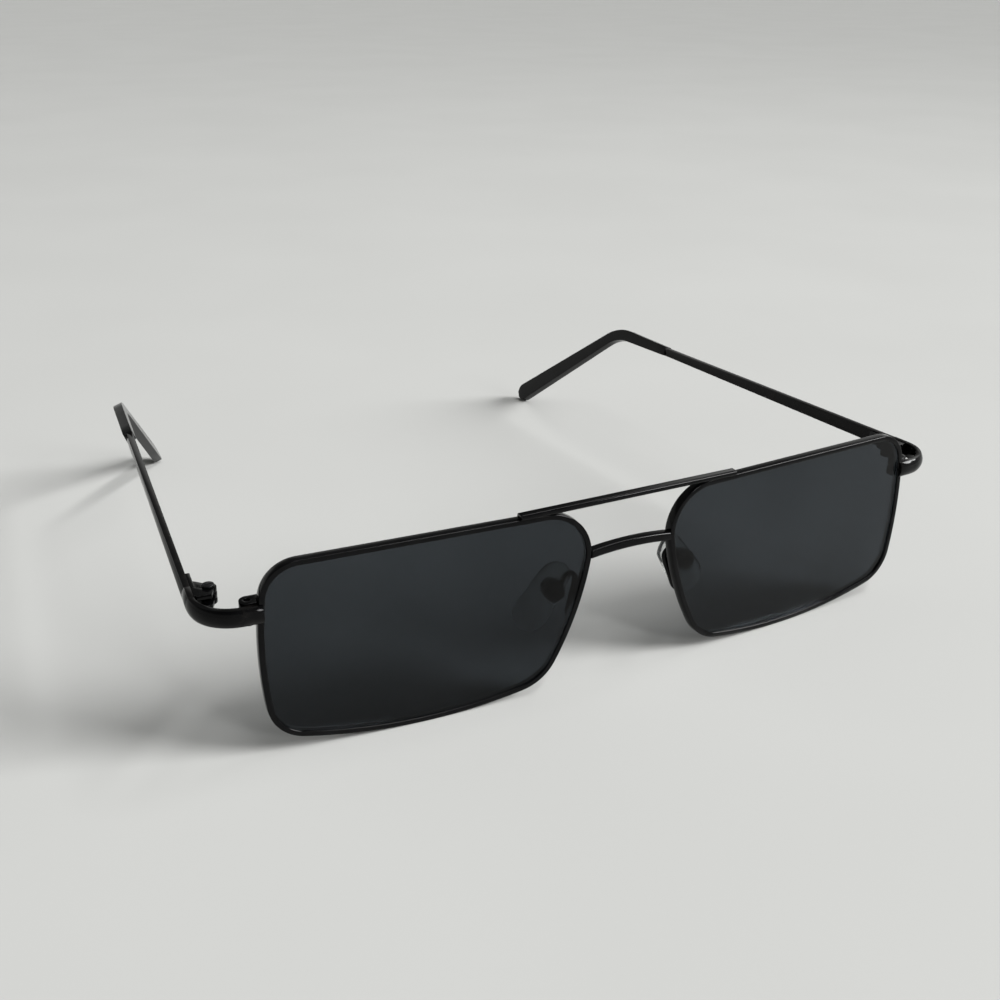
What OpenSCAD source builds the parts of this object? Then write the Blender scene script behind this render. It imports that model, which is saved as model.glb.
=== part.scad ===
// Slim square sunglasses with a straight brow bar over the bridge, in millimetres.
// X runs to the wearer's left, Y from the front back to the wearer, Z up.
// The rims and the ends of the temple tips stand on Z = 0.

/* [Rim outline] */
// Width of one rim from the nose side to the temple side
rim_width = 56; // [54:0.5:58]
// Height of one rim
rim_height = 33.5; // [32:0.5:36]
// Radius of the upper corner at the nose
top_nose_radius = 8.4; // [7:0.1:9]
// Radius of the lower corner at the nose
bottom_nose_radius = 8.3; // [7:0.1:9]
// Radius of the upper corner at the temple
top_temple_radius = 6.3; // [5:0.1:8]
// Radius of the lower corner at the temple
bottom_temple_radius = 7.2; // [6:0.1:8]
// Radius of the slightly curved nose side
nose_side_radius = 58; // [50:1:80]
// Radius of the slightly curved lower side
lower_side_radius = 91; // [80:1:120]
// Radius of the slightly curved temple side
temple_side_radius = 78; // [70:1:110]
// How far the lower corner at the nose stands in from the rim's widest point
nose_corner_in = 5.3; // [4:0.1:6]
// How far the lower corner at the nose stands up from the outline's lower edge
nose_corner_up = 1.35; // [1:0.05:2]
// How far both corners at the temple stand in from the rim's widest point
temple_corner_in = 0.55; // [0.3:0.05:0.8]
// How far the lower corner at the temple stands up from the outline's lower edge
temple_corner_up = 2.25; // [1.8:0.05:2.8]

/* [Rims and lenses] */
// Distance between the centres of the two lenses
lens_spacing = 71.5; // [70.5:0.1:73]
// Angle by which each rim turns back towards the temple
wrap_angle = 3.7; // [2:0.1:5]
// Thickness of the rim wire seen from the front
wire_face = 0.95; // [0.9:0.05:1.2]
// Depth of the rim wire from front to back
wire_depth = 1.75; // [1.6:0.05:2.2]
// Depth of the lens groove in the wire
groove_depth = 0.35; // [0.25:0.05:0.45]
// Width of the lens groove in the wire
groove_width = 0.6; // [0.5:0.05:0.7]
// Thickness of the lens
lens_thickness = 1.2; // [1:0.05:1.3]
// How far the lens lies behind the front of the wire
lens_setback = 0.3; // [0.1:0.05:0.4]
// Gap between the lens and the wire
lens_clearance = 0.04; // [0.02:0.01:0.08]
// Width of the saw cut that opens the rim at its lock
rim_cut = 0.24; // [0.15:0.01:0.4]
// Gap kept between two pieces that are brazed together
braze_gap = 0.02; // [0.01:0.01:0.05]

/* [Brow bar and bridge] */
// How far the brow bar reaches along each rim from the rim's nose side
brow_reach = 13.19; // [11:0.01:17]
// Height of the brow bar
brow_height = 1; // [0.8:0.05:1.4]
// Depth of the brow bar from front to back
brow_depth = 1.7; // [1.4:0.05:2]
// How far the brow bar's front lies ahead of the front plane
brow_front = 1.65; // [1.4:0.05:1.9]
// Width of the bevel along the brow bar's and the bridge's edges
bar_bevel = 0.25; // [0.1:0.05:0.35]
// Height of the bridge bar
bridge_height = 1.6; // [1.3:0.05:2]
// Depth of the bridge bar from front to back
bridge_depth = 1.8; // [1.5:0.05:2.2]
// How far the bridge's front lies ahead of the front plane
bridge_front = 2; // [1.9:0.05:2.2]
// Height of the bridge's middle line above the lens centres, at the nose
bridge_rise = 8.65; // [7.5:0.05:9.5]
// How much the bridge arches between its ends
bridge_arch = 0.6; // [0.3:0.05:1]
// How far each end of the bridge reaches past the rim's widest point
bridge_reach = 0.6; // [0.5:0.05:0.7]

/* [End pieces and rim locks] */
// Thickness of the half-round strip
strip_thickness = 1.4; // [1.3:0.05:1.6]
// Height of the end piece strip
end_height = 2.9; // [2.6:0.1:3.2]
// How much the half-round strip bulges on its outer side
strip_crown = 0.5; // [0.3:0.05:0.6]
// Radius of the end piece's turn, at the middle of the strip
turn_radius = 6.6; // [6:0.1:6.8]
// How far the end piece laps over the front of the rim
end_lap = 0.8; // [0.7:0.05:0.85]
// Height of the two closing block halves together
lock_height = 3.6; // [3.4:0.1:4.2]
// Depth of the closing block
lock_depth = 2.6; // [2.4:0.1:2.8]
// How far the closing block reaches out beside the rim
lock_reach = 2.4; // [2.3:0.1:2.7]
// How far the closing block reaches in behind the rim wire
lock_lap = 0.9; // [0.5:0.05:0.9]
// Diameter of the rim lock screw
lock_screw = 1; // [0.8:0.05:1.1]
// Diameter of the rim lock screw's head
lock_head = 1.7; // [1.5:0.05:2]

/* [Hinges] */
// How far each hinge pin lies out beyond the rim's temple side
hinge_out = 4.51; // [4.4:0.01:5.3]
// Distance of the hinge pins behind the front plane
hinge_back = 11.3; // [11:0.1:13]
// Height of the hinges and the temples above the table
hinge_height = 25.75; // [25:0.05:26.5]
// Distance of the pin inwards from the middle of the temple strip
hinge_inset = 3.3; // [3.2:0.05:3.6]
// Distance from the pin back to the joint between end piece and temple
joint_back = 0.9; // [0.8:0.05:1.1]
// Gap between the end piece and the temple when open
joint_gap = 0.1; // [0.06:0.02:0.2]
// Angle by which the temples run inwards
temple_angle = 5.2; // [4:0.1:6]
// Diameter of the hinge barrel
barrel_diameter = 2.5; // [2.4:0.05:2.6]
// Height of the hinge barrel
barrel_height = 2.7; // [2.5:0.05:2.9]
// Height of the middle knuckle
knuckle_height = 1; // [0.8:0.05:1.1]
// Gap between the knuckles
knuckle_gap = 0.06; // [0.05:0.01:0.1]
// Diameter of the hinge screw
pin_diameter = 1.2; // [1:0.05:1.3]
// Gap round the hinge screw in the temple's knuckle
pin_clearance = 0.05; // [0.02:0.01:0.08]
// Diameter of the hinge screw's head
pin_head = 1.9; // [1.7:0.05:2.2]
// Height of the hinge screw's head
pin_head_height = 0.4; // [0.3:0.05:0.5]
// Thickness of the hinge plates
plate_thickness = 0.7; // [0.6:0.05:0.8]
// Length of the hinge plate on the end piece
front_plate = 3.2; // [3:0.05:3.3]
// Length of the hinge plate on the temple
temple_plate = 4.8; // [4.2:0.1:6]

/* [Temples] */
// Height of the temple strip at the hinge
temple_height = 2.7; // [2.4:0.05:2.9]
// Height of the temple strip where the tip begins
temple_end_height = 1.7; // [1.5:0.05:2]
// Distance from the hinge pin to where the tip begins
tip_start = 72; // [64:1:80]
// Straight length of the tip ahead of its bend
tip_straight = 14.4; // [10:0.2:20]
// Radius of the tip's bend
bend_radius = 12; // [9:0.5:18]
// Angle of the tip's bend
bend_angle = 40; // [34:1:46]
// Angle by which the bent tip leans inwards
tip_lean = 21; // [10:1:22]
// Height of the tip where it begins
tip_height = 2.2; // [2.1:0.05:2.4]
// Width of the tip at its bend
bend_width = 2.7; // [2.4:0.05:3.2]
// Radius of the tip's rounded end
tip_end_radius = 2.2; // [1.9:0.05:2.5]
// Thickness of the tip
tip_thickness = 1.9; // [1.8:0.05:2.2]
// Diameter of the metal core inside the tip
core_diameter = 1.1; // [0.9:0.05:1.2]
// Gap between the core and the tip
core_clearance = 0.05; // [0.03:0.01:0.08]
// Distance from the end of the core to the middle of the tip's rounded end
core_stop = 4; // [3:0.5:10]

/* [Nose pads] */
// How far each pad box lies outwards from the rim's nose side
pad_out = 5.29; // [5:0.01:6]
// Distance of the pad boxes behind the front plane
pad_back = 2; // [1.8:0.05:2.6]
// Height of the pad boxes above the lens centres
pad_up = 1.2; // [0.6:0.1:1.8]
// Angle by which the pad's lower end leans outwards
pad_tilt = 34; // [28:1:38]
// Angle by which the pad's outer edge turns back
pad_splay = 11; // [5:1:18]
// Angle by which the pad's upper end leans back
pad_lean = 4; // [0:1:8]
// Diameter of the pad box
box_diameter = 3.6; // [3.4:0.1:4]
// How far the pad box's mouth lies behind the pad screw
box_mouth = 0.85; // [0.7:0.05:0.95]
// Wall of the pad box
box_wall = 0.5; // [0.45:0.05:0.6]
// Diameter of the pad screw
pad_screw_diameter = 0.8; // [0.6:0.05:0.9]
// Diameter of the pad screw's head
pad_head = 1.25; // [1.1:0.05:1.4]
// How far the pad screw's head sticks out
pad_head_out = 0.45; // [0.3:0.05:0.6]
// Gap round the pad screw in the pad's lug
pad_pin_clearance = 0.05; // [0.02:0.01:0.08]
// Width of the pad's lug
lug_width = 1.1; // [0.9:0.05:1.3]
// Length of the pad's lug along the pad
lug_length = 1.4; // [1.3:0.05:1.5]
// Gap between the pad's lug and the floor of the pad box
lug_gap = 0.12; // [0.1:0.02:0.2]
// Diameter of the disc moulded into the pad
disc_diameter = 3.2; // [2.8:0.1:3.6]
// Thickness of the disc moulded into the pad
disc_thickness = 0.6; // [0.5:0.05:0.8]
// Distance from the pad screw to the front of the pad
pad_stand = 1.5; // [1.4:0.05:1.8]
// Thickness of the pad in its middle
pad_thickness = 2; // [1.8:0.05:2.2]
// Radius of the pad's curved face
pad_dome = 16; // [15:1:30]
// Radius of the pad's upper end
pad_top_radius = 2.7; // [2.4:0.1:3]
// Radius of the pad's lower end
pad_bottom_radius = 3.4; // [3.1:0.1:3.8]
// Distance from the pad screw up to the middle of the pad's upper end
pad_top = 1.9; // [1.7:0.1:2.1]
// Distance from the pad screw down to the middle of the pad's lower end
pad_bottom = 5.7; // [5:0.1:6]
// Diameter of the pad arm's wire
arm_diameter = 0.95; // [0.8:0.05:1]
// Radius of the pad arm's loop
loop_radius = 1.15; // [1:0.05:1.2]
// How far the loop's middle lies outwards from the rim's nose side
loop_out = 2.44; // [2.3:0.01:2.7]
// Distance of the loop behind the front plane
loop_back = 1.5; // [1.4:0.05:1.8]
// Height of the loop's middle above the lens centres
loop_up = 2.75; // [2.5:0.05:3]
// How far below the lens centres the pad arm leaves the rim
arm_root_down = 3.3; // [2.6:0.1:4]

/* [Hidden] */

black_metal = "#17181a";
dark_steel = "#54575c";
smoke = "#2e3134";
black_plastic = "#101112";
clear_plastic = "#c9cdcb";

// Facets on long shallow curves, on bends and on small round pieces
long_fn = 360;
bend_fn = 144;
small_fn = 48;
// Spare length by which a cutting shape runs past what it cuts
over = 1;
// Where a straight run meets a curved one, it laps in and stands proud by this much
seam_lap = 0.1;
seam = 0.01;

// Middles of the outline's four corners, as seen from the front, temple side to the right
top_nose = [-rim_width / 2 + top_nose_radius, rim_height / 2 - top_nose_radius];
top_temple = [
  rim_width / 2 - temple_corner_in - top_temple_radius,
  rim_height / 2 - top_temple_radius
];
bottom_temple = [
  rim_width / 2 - temple_corner_in - bottom_temple_radius,
  -rim_height / 2 + temple_corner_up + bottom_temple_radius
];
bottom_nose = [
  -rim_width / 2 + nose_corner_in + bottom_nose_radius,
  -rim_height / 2 + nose_corner_up + bottom_nose_radius
];

// The point at distance ra from a and rb from b, to the right of the way from a to b
function meet(a, ra, b, rb) =
  let (
    way = b - a,
    length = norm(way),
    along = (length * length + ra * ra - rb * rb) / (2 * length),
    aside = sqrt(ra * ra - along * along),
    step = way / length
  )
  a + step * along + [step[1], -step[0]] * aside;

function toward(a, b) = (b - a) / norm(b - a);

// Middles of the three curved sides, each of which runs smoothly into its corners
temple_side = meet(
  top_temple, temple_side_radius - top_temple_radius,
  bottom_temple, temple_side_radius - bottom_temple_radius
);
lower_side = meet(
  bottom_temple, lower_side_radius - bottom_temple_radius,
  bottom_nose, lower_side_radius - bottom_nose_radius
);
nose_side = meet(
  bottom_nose, nose_side_radius - bottom_nose_radius,
  top_nose, nose_side_radius - top_nose_radius
);

// Across position of the outline's temple side and nose side at a height
function temple_edge(v) = temple_side[0] + sqrt(pow(temple_side_radius, 2) - pow(v - temple_side[1], 2));
function nose_edge(v) = nose_side[0] - sqrt(pow(nose_side_radius, 2) - pow(v - nose_side[1], 2));

lens_x = lens_spacing / 2;
// The hinges, the brow bar's ends, the pads and their loops keep to the rims' two sides
rim_nose_x = lens_x - rim_width / 2 * cos(wrap_angle);
rim_temple_x = lens_x + rim_width / 2 * cos(wrap_angle);
hinge_half_span = rim_temple_x + hinge_out;
brow_length = 2 * (rim_nose_x + brow_reach);
pad_half_span = rim_nose_x + pad_out;
loop_half_span = rim_nose_x + loop_out;
// Height of the lens centres at which the lower sides just touch the table
lens_z = lower_side_radius - lower_side[1];
lock_v = hinge_height - lens_z;

// A point given across, back and up in the rim, as a point of the front
function rim_point(u, d, v) = [
  lens_x + u * cos(wrap_angle) - d * sin(wrap_angle),
  u * sin(wrap_angle) + d * cos(wrap_angle),
  v
];

// Middle of the end piece's turn, one turn radius in from both straight runs
strip_line = [
  hinge_half_span + hinge_inset * cos(temple_angle),
  hinge_back + hinge_inset * sin(temple_angle)
];
front_in = [-sin(wrap_angle), cos(wrap_angle)];
side_in = [-cos(temple_angle), -sin(temple_angle)];
front_sum = turn_radius + [lens_x, 0] * front_in;
side_sum = turn_radius + strip_line * side_in;
turn_share = front_in[0] * side_in[1] - front_in[1] * side_in[0];
turn_middle = [
  (front_sum * side_in[1] - side_sum * front_in[1]) / turn_share,
  (front_in[0] * side_sum - side_in[0] * front_sum) / turn_share
];
turn_across = (turn_middle - [lens_x, 0]) * [cos(wrap_angle), sin(wrap_angle)];
turn_along = (turn_middle - [hinge_half_span, hinge_back]) * [-sin(temple_angle), cos(temple_angle)];

// The tip's straight end is as long as it takes to stand on the table
bend_drop = bend_radius * (1 - cos(bend_angle));
end_rest = (tip_end_radius - seam) * cos(tip_lean) + tip_thickness / 2 * sin(tip_lean);
tip_reach = ((hinge_height - end_rest) / cos(tip_lean) - bend_drop) / sin(bend_angle);
tip_drop = bend_drop + tip_reach * sin(bend_angle);

// Where the tip's rounded end lies, for setting the whole part about the middle of its depth
end_along = tip_start + tip_straight + bend_radius * sin(bend_angle) + tip_reach * cos(bend_angle);
end_across = hinge_inset - tip_drop * sin(tip_lean);
end_turn = cos(tip_lean) * sin(temple_angle);
end_back = hinge_back + end_across * sin(temple_angle) + end_along * cos(temple_angle);
rear = end_back + (tip_end_radius - seam) * sqrt(1 - pow(end_turn, 2)) + tip_thickness / 2 * end_turn;
fore = max(bridge_front, brow_front, rim_width / 2 * sin(wrap_angle));
depth_shift = (rear - fore) / 2;

// Everything is drawn from the front plane, then moved to the middle of the depth
module settle() {
  translate([0, -depth_shift, 0]) children();
}

module other_side() {
  mirror([1, 0, 0]) children();
}

// A flat shape drawn across and up, given depth from front to back
module slab(front, back) {
  rotate([90, 0, 0])
    translate([0, 0, -back])
      linear_extrude(back - front) children();
}

module in_rim() {
  translate([lens_x, 0, lens_z])
    rotate([0, 0, wrap_angle]) children();
}

module in_temple() {
  translate([hinge_half_span, hinge_back, hinge_height])
    rotate([0, 0, temple_angle]) children();
}

// Pieces of the tip are drawn along and up, in the leaning plane of its bend
module in_tip() {
  in_temple()
    translate([hinge_inset, tip_start, 0])
      rotate([0, tip_lean, 0])
        rotate([90, 0, 90]) children();
}

// Across, back and up along the pad, with the pad screw across the middle
module in_pad() {
  translate([pad_half_span, pad_back, lens_z + pad_up])
    rotate([-pad_lean, 0, pad_splay])
      rotate([0, -pad_tilt, 0]) children();
}

module rod(from, to, diameter) {
  way = to - from;
  translate(from)
    rotate([0, acos(way[2] / norm(way)), atan2(way[1], way[0])])
      cylinder(h = norm(way), d = diameter, $fn = small_fn);
}

// What a corner's rounding takes off, between the directions of its two sides
module corner_cut(middle, radius, first, second) {
  difference() {
    polygon([middle, middle + 3 * radius * first, middle + 3 * radius * second]);
    translate(middle) circle(r = radius - seam, $fn = bend_fn);
  }
}

// The rim's outline, set in evenly all round
module outline(inset) {
  difference() {
    intersection() {
      translate([-rim_width, -rim_height]) square([2 * rim_width, 1.5 * rim_height - inset]);
      translate(temple_side) circle(r = temple_side_radius - inset, $fn = long_fn);
      translate(lower_side) circle(r = lower_side_radius - inset, $fn = long_fn);
      translate(nose_side) circle(r = nose_side_radius - inset, $fn = long_fn);
    }
    corner_cut(top_nose, top_nose_radius - inset, toward(nose_side, top_nose), [0, 1]);
    corner_cut(top_temple, top_temple_radius - inset, [0, 1], toward(temple_side, top_temple));
    corner_cut(
      bottom_temple, bottom_temple_radius - inset,
      toward(temple_side, bottom_temple), toward(lower_side, bottom_temple)
    );
    corner_cut(
      bottom_nose, bottom_nose_radius - inset,
      toward(lower_side, bottom_nose), toward(nose_side, bottom_nose)
    );
  }
}

// Front edge of the lens groove behind the front of the wire
groove_front = lens_setback + lens_thickness / 2 - groove_width / 2;

module eyewire() {
  in_rim()
    difference() {
      slab(0, wire_depth) outline(0);
      slab(-over, wire_depth + over) outline(wire_face);
      slab(groove_front, groove_front + groove_width) outline(wire_face - groove_depth);
      translate([rim_width / 2 - 2 * wire_face, -over, lock_v - rim_cut / 2])
        cube([4 * wire_face, wire_depth + 2 * over, rim_cut]);
    }
}

module lens() {
  in_rim()
    union() {
      slab(lens_setback, lens_setback + lens_thickness) outline(wire_face + lens_clearance);
      slab(groove_front + lens_clearance, groove_front + groove_width - lens_clearance)
        outline(wire_face - groove_depth + lens_clearance);
    }
}

// A bar's cross-section with bevelled edges, deep by tall
function bevelled(deep, tall, bevel) = [
  [bevel, 0], [deep - bevel, 0], [deep, bevel], [deep, tall - bevel],
  [deep - bevel, tall], [bevel, tall], [0, tall - bevel], [0, bevel]
];

module brow_bar_shape() {
  translate([-brow_length / 2, -brow_front, lens_z + rim_height / 2 + braze_gap])
    rotate([90, 0, 90])
      linear_extrude(brow_length)
        polygon(bevelled(brow_depth, brow_height, bar_bevel));
}

bridge_half = rim_nose_x + bridge_reach;
bridge_radius = (pow(bridge_half, 2) + pow(bridge_arch, 2)) / (2 * bridge_arch);

module bridge_shape() {
  turn = 2 * asin(bridge_half / bridge_radius);
  difference() {
    translate([0, -bridge_front, lens_z + bridge_rise - bridge_radius])
      rotate([90, 0, 0])
        rotate([0, 0, 90 - turn / 2])
          rotate_extrude(angle = turn, $fn = long_fn)
            translate([bridge_radius - bridge_height / 2, -bridge_depth])
              polygon([for (p = bevelled(bridge_depth, bridge_height, bar_bevel)) [p[1], p[0]]]);
    in_rim() slab(-2 * bridge_depth, 2 * bridge_depth) outline(-braze_gap);
    other_side() in_rim() slab(-2 * bridge_depth, 2 * bridge_depth) outline(-braze_gap);
  }
}

// Cross-section of the half-round strip, bulging outwards to the right
module strip_section(inset) {
  crown_radius = (pow(end_height / 2, 2) + pow(strip_crown, 2)) / (2 * strip_crown);
  intersection() {
    translate([inset - strip_thickness / 2, inset - end_height / 2])
      square([strip_thickness - 2 * inset, end_height - 2 * inset]);
    translate([strip_thickness / 2 - crown_radius, 0])
      circle(r = crown_radius - inset, $fn = bend_fn);
  }
}

end_start = temple_edge(lock_v) - end_lap;

module end_piece() {
  difference() {
    union() {
      translate([lens_x, 0, hinge_height])
        rotate([0, 0, wrap_angle])
          translate([end_start, 0, 0])
            rotate([90, 0, 90])
              linear_extrude(turn_across - end_start + seam_lap)
                rotate(180) strip_section(0);
      translate([turn_middle[0], turn_middle[1], hinge_height])
        rotate([0, 0, wrap_angle - 90])
          rotate_extrude(angle = 90 - wrap_angle + temple_angle, $fn = bend_fn)
            translate([turn_radius, 0]) strip_section(seam);
      in_temple()
        translate([hinge_inset, joint_back - joint_gap / 2, 0])
          rotate([90, 0, 0])
            linear_extrude(joint_back - joint_gap / 2 - turn_along + seam_lap) strip_section(0);
    }
    in_rim() slab(-braze_gap, wire_depth) outline(-braze_gap);
  }
}

lock_front = strip_thickness / 2 + braze_gap;
lock_radius = lock_depth / 2;
lock_x = temple_edge(lock_v) + lock_reach - lock_radius;
lock_y = lock_front + lock_radius;
// Gap round the thread of a screw in its own piece
thread_gap = 0.02;
slot_width = 0.3;
slot_depth = 0.2;
lock_head_height = 0.5;

// One half of the closing block, round at its outer end, between two heights above the lock's middle
module closing_block(low, high, bore) {
  in_rim()
    difference() {
      translate([0, 0, lock_v + low])
        linear_extrude(high - low)
          union() {
            translate([temple_edge(lock_v) - lock_lap, lock_front])
              square([lock_lap + lock_reach - lock_radius + seam_lap, lock_depth]);
            translate([lock_x, lock_y]) circle(r = lock_radius - seam, $fn = small_fn);
          }
      slab(-over, wire_depth + braze_gap) outline(-braze_gap);
      translate([lock_x, lock_y, lock_v + low - over])
        cylinder(h = high - low + 2 * over, d = bore, $fn = small_fn);
    }
}

module rim_lock_screw_shape() {
  shaft = lock_height - 0.3;
  in_rim()
    translate([lock_x, lock_y, lock_v - lock_height / 2])
      difference() {
        union() {
          cylinder(h = shaft, d = lock_screw, $fn = small_fn);
          translate([0, 0, -lock_head_height - braze_gap])
            cylinder(h = lock_head_height, d = lock_head, $fn = small_fn);
          translate([0, 0, -lock_head_height / 2])
            cylinder(h = lock_head_height, d = lock_screw, $fn = small_fn);
        }
        translate([-lock_head, -slot_width / 2, -lock_head_height - braze_gap - over])
          cube([2 * lock_head, slot_width, slot_depth + over]);
      }
}

// Inner face of the strips, measured outwards from the pin
strip_face = hinge_inset - strip_thickness / 2 - braze_gap;
plate_face = strip_face - plate_thickness;
barrel_radius = barrel_diameter / 2;

module knuckle(low, high, plan, bore) {
  translate([0, 0, low])
    difference() {
      linear_extrude(high - low)
        union() {
          circle(r = barrel_radius, $fn = small_fn);
          polygon(plan);
        }
      translate([0, 0, -over]) cylinder(h = high - low + 2 * over, d = bore, $fn = small_fn);
    }
}

module front_hinge() {
  plan = [
    [-0.6 * barrel_radius, -0.5 * barrel_radius],
    [-0.1 * barrel_radius, -2 * barrel_radius],
    [plate_face + plate_thickness / 2, -front_plate + 0.6],
    [plate_face + plate_thickness / 2, 0.2 * barrel_radius],
    [0.5 * barrel_radius, 0.4 * barrel_radius]
  ];
  in_temple()
    union() {
      knuckle(knuckle_height / 2 + knuckle_gap, barrel_height / 2, plan, pin_diameter + 2 * thread_gap);
      knuckle(-barrel_height / 2, -knuckle_height / 2 - knuckle_gap, plan, pin_diameter + 2 * thread_gap);
      translate([plate_face, joint_back - joint_gap / 2 - front_plate, -barrel_height / 2])
        cube([plate_thickness, front_plate - 0.3, barrel_height]);
    }
}

module temple_hinge() {
  start = joint_back + joint_gap / 2 + 0.2;
  plan = [
    [0.5 * barrel_radius, 0.4 * barrel_radius],
    [0.75 * barrel_radius, start + 0.1],
    [plate_face + plate_thickness / 2, start + 0.4],
    [plate_face + plate_thickness / 2, start + temple_plate - 1.2],
    [-0.2 * barrel_radius, 2.1 * barrel_radius],
    [-0.6 * barrel_radius, 0.5 * barrel_radius]
  ];
  in_temple()
    union() {
      knuckle(-knuckle_height / 2, knuckle_height / 2, plan, pin_diameter + 2 * pin_clearance);
      translate([plate_face, start, -temple_height / 2 + 0.2])
        cube([plate_thickness, temple_plate, temple_height - 0.4]);
    }
}

module hinge_screw_shape() {
  in_temple()
    difference() {
      union() {
        translate([0, 0, -barrel_height / 2])
          cylinder(h = barrel_height + pin_head_height, d = pin_diameter, $fn = small_fn);
        translate([0, 0, barrel_height / 2 + braze_gap])
          cylinder(h = pin_head_height, d = pin_head, $fn = small_fn);
      }
      translate([-pin_head, -slot_width / 2, barrel_height / 2 + braze_gap + pin_head_height - slot_depth])
        cube([2 * pin_head, slot_width, slot_depth + over]);
    }
}

// Tangent of the tip's sides from the end of the bend to its rounded end
tip_slope = asin(tip_end_radius / norm([tip_reach, bend_width / 2])) - atan2(bend_width / 2, tip_reach);
bend_end = [tip_straight + bend_radius * sin(bend_angle), -bend_drop];

// Side view of the tip, along and up from where it begins
module tip_side() {
  last = tip_reach - tip_end_radius * sin(tip_slope);
  half = tip_end_radius * cos(tip_slope);
  union() {
    polygon([
      [0, -tip_height / 2], [tip_straight + seam_lap, -bend_width / 2],
      [tip_straight + seam_lap, bend_width / 2], [0, tip_height / 2]
    ]);
    translate([tip_straight, -bend_radius])
      intersection() {
        difference() {
          circle(r = bend_radius + bend_width / 2 - seam, $fn = bend_fn);
          circle(r = bend_radius - bend_width / 2 + seam, $fn = bend_fn);
        }
        polygon([
          [0, 0], [0, 2 * bend_radius],
          [2 * bend_radius * sin(bend_angle), 2 * bend_radius * cos(bend_angle)]
        ]);
      }
    translate(bend_end)
      rotate(-bend_angle)
        union() {
          polygon([
            [-seam_lap, -bend_width / 2], [last, -half],
            [last, half], [-seam_lap, bend_width / 2]
          ]);
          translate([tip_reach, 0]) circle(r = tip_end_radius - seam, $fn = bend_fn);
        }
  }
}

// Round core along the middle of the tip
module core(diameter, reach) {
  in_tip() {
    translate([-over, 0, 0])
      rotate([0, 90, 0])
        cylinder(h = tip_straight + over + seam_lap, d = diameter, $fn = small_fn);
    translate([tip_straight, -bend_radius, 0])
      rotate([0, 0, 90 - bend_angle])
        rotate_extrude(angle = bend_angle, $fn = bend_fn)
          translate([bend_radius, 0]) circle(d = diameter - 2 * seam, $fn = small_fn);
    translate([bend_end[0], bend_end[1], 0])
      rotate([0, 0, -bend_angle])
        translate([-seam_lap, 0, 0])
          rotate([0, 90, 0])
            cylinder(h = reach + seam_lap, d = diameter, $fn = small_fn);
  }
}

module temple() {
  start = joint_back + joint_gap / 2;
  finish = tip_start - braze_gap;
  union() {
    in_temple()
      intersection() {
        translate([hinge_inset, finish, 0])
          rotate([90, 0, 0])
            linear_extrude(finish - start) strip_section(0);
        translate([hinge_inset - strip_thickness, 0, 0])
          rotate([90, 0, 90])
            linear_extrude(2 * strip_thickness)
              polygon([
                [start, -temple_height / 2], [finish, -temple_end_height / 2],
                [finish, temple_end_height / 2], [start, temple_height / 2]
              ]);
      }
    core(core_diameter, tip_reach - core_stop);
  }
}

module temple_tip() {
  difference() {
    in_tip() translate([0, 0, -tip_thickness / 2]) linear_extrude(tip_thickness) tip_side();
    core(core_diameter + 2 * core_clearance, tip_reach - core_stop + core_clearance);
  }
}

module pad_arm() {
  root_v = -arm_root_down;
  root_u = nose_edge(root_v) + wire_face / 2;
  heel_d = wire_depth + braze_gap + arm_diameter / 2;
  lift = [0, 0, lens_z];
  root = rim_point(root_u, wire_depth + braze_gap, root_v) + lift;
  heel = rim_point(root_u, heel_d + 0.15, root_v) + lift;
  loop = [loop_half_span, loop_back, loop_up] + lift;
  rise = loop - [loop_radius, 0, 0];
  fall = loop + [loop_radius, 0, 0];
  box = [pad_half_span, pad_back, pad_up] + lift;
  difference() {
    union() {
      rod(root, heel, arm_diameter);
      translate(heel) sphere(d = arm_diameter + 2 * seam, $fn = small_fn);
      rod(heel, rise, arm_diameter);
      translate(rise) sphere(d = arm_diameter + 2 * seam, $fn = small_fn);
      translate(loop)
        rotate([90, 0, 0])
          rotate_extrude(angle = 180, $fn = bend_fn)
            translate([loop_radius, 0]) circle(d = arm_diameter, $fn = small_fn);
      translate(fall) sphere(d = arm_diameter + 2 * seam, $fn = small_fn);
      rod(fall, box, arm_diameter);
    }
    in_pad()
      rotate([-90, 0, 0])
        translate([0, 0, -box_diameter])
          cylinder(h = 2 * box_diameter, d = box_diameter + 2 * braze_gap, $fn = small_fn);
  }
}

box_floor = 0.4;
box_front = -lug_length / 2 - lug_gap - box_floor;
box_depth = box_mouth - box_front;
// The flat on the box's side that the screw's head bears on
head_seat = box_diameter / 2 - 0.2;

module pad_box() {
  in_pad()
    difference() {
      rotate([-90, 0, 0])
        translate([0, 0, box_front]) cylinder(h = box_depth, d = box_diameter, $fn = small_fn);
      rotate([-90, 0, 0])
        translate([0, 0, box_front + box_floor])
          cylinder(h = box_depth, d = box_diameter - 2 * box_wall, $fn = small_fn);
      rotate([0, 90, 0])
        translate([0, 0, -box_diameter])
          cylinder(h = 2 * box_diameter, d = pad_screw_diameter + 2 * thread_gap, $fn = small_fn);
      rotate([0, -90, 0])
        translate([0, 0, head_seat])
          cylinder(h = box_diameter, d = pad_head + 4 * thread_gap, $fn = small_fn);
    }
}

module pad_screw_shape() {
  head_out = box_diameter / 2 + pad_head_out;
  in_pad()
    difference() {
      union() {
        rotate([0, -90, 0])
          translate([0, 0, -box_diameter / 2])
            cylinder(h = box_diameter / 2 + head_out, d = pad_screw_diameter, $fn = small_fn);
        rotate([0, -90, 0])
          translate([0, 0, head_seat + thread_gap])
            cylinder(h = head_out - head_seat - thread_gap, d = pad_head, $fn = small_fn);
      }
      translate([-head_out - over, -slot_width / 2, -pad_head])
        cube([slot_depth + over, slot_width, 2 * pad_head]);
    }
}

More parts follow.
